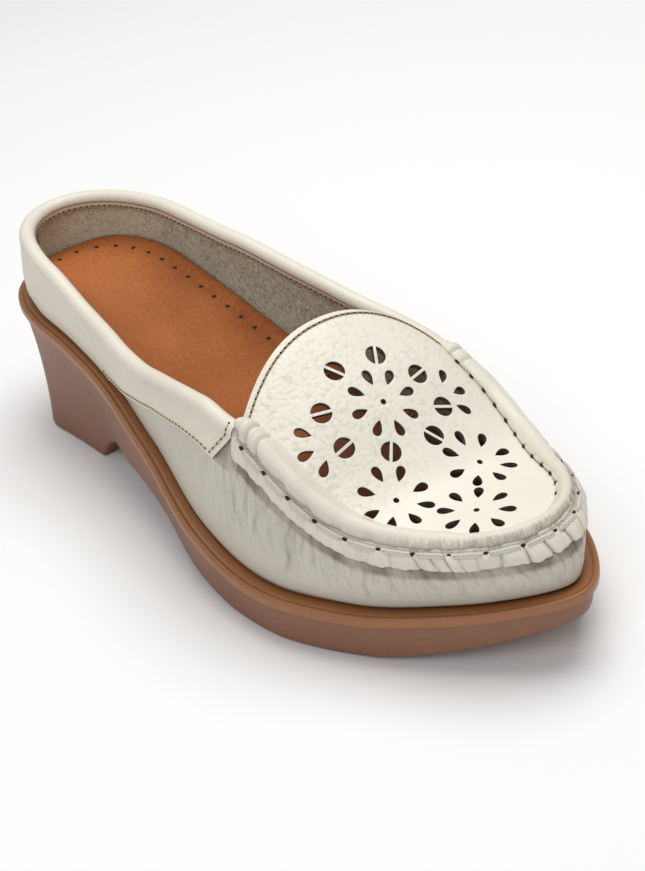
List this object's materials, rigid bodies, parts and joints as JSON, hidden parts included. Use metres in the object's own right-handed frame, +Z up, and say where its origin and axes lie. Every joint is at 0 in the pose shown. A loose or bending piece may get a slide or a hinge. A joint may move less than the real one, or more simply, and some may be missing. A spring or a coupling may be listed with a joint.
{
  "type": "moccasin wedge mule shoe",
  "caption": "Slip-on leather mule for walking: moccasin toe with a punched apron, low collar round the heel and a moulded wedge sole.",
  "frame": {"origin": "on the ground under the middle of the shoe's outline box", "axes": "+X from heel to toe, +Y to the inner side of the foot, +Z up"},
  "size_m": [0.245, 0.1008, 0.0764],
  "materials": {
    "sole": "brown moulded sole, fine matt grain",
    "insole": "tan smooth leather footbed",
    "upper": "cream pebble-grained leather",
    "collar": "cream smooth leather",
    "apron_ridge": "cream soft leather, rolled"
  },
  "bodies": {
    "root": {"sole": "sole", "insole": "insole", "upper": "upper", "collar": "collar", "apron_ridge": "apron_ridge"}
  },
  "joints": []
}
